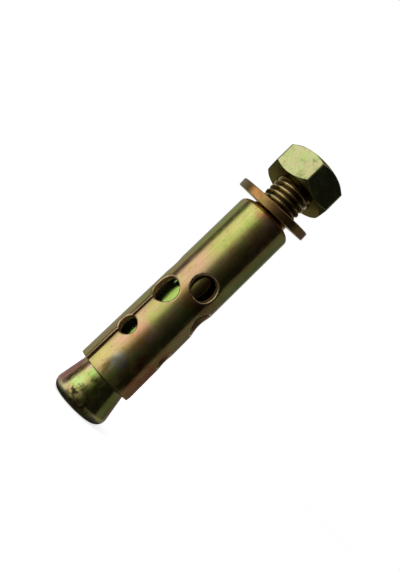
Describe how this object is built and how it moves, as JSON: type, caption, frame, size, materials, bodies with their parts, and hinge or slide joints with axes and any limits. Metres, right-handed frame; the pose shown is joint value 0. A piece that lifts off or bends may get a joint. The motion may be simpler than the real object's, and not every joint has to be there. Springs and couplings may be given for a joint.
{
  "type": "sleeve anchor",
  "caption": "Sleeve anchor: stud with a forged cone end, slotted rolled sleeve with punched holes, thick flat washer that leans on the sleeve, and a chamfered hexagon nut.",
  "frame": {"origin": "centre of the flat end face of the cone, which the anchor stands on", "axes": "+Z along the stud's axis from the cone up to the nut; -Y is the front, towards the large hole between the two side slits; +X to the right"},
  "size_m": [0.0204, 0.0201, 0.0812],
  "materials": {
    "plated_steel": "satin, zinc plated with an iridescent yellow chromate"
  },
  "bodies": {
    "stud": {"cone_stud": "plated_steel"},
    "sleeve": {"expansion_sleeve": "plated_steel"},
    "washer": {"flat_washer": "plated_steel"},
    "nut": {"hex_nut": "plated_steel"}
  },
  "joints": [
    {"name": "sleeve_turn", "type": "hinge", "parent": "stud", "child": "sleeve", "pos_m": [0, 0, 0.036], "axis": [0, 0, 1], "continuous": true},
    {"name": "washer_turn", "type": "hinge", "parent": "stud", "child": "washer", "pos_m": [0, 0, 0.066], "axis": [0, 0, 1], "range_deg": [-540, 960]},
    {"name": "nut_travel", "type": "slide", "parent": "washer", "child": "nut", "axis": [0, 0, 1], "range_m": [-0.00225, 0.004]}
  ],
  "couplings": [
    {"joint": "nut_travel", "follows": "washer_turn", "m_per_rad": 0.00023873}
  ]
}
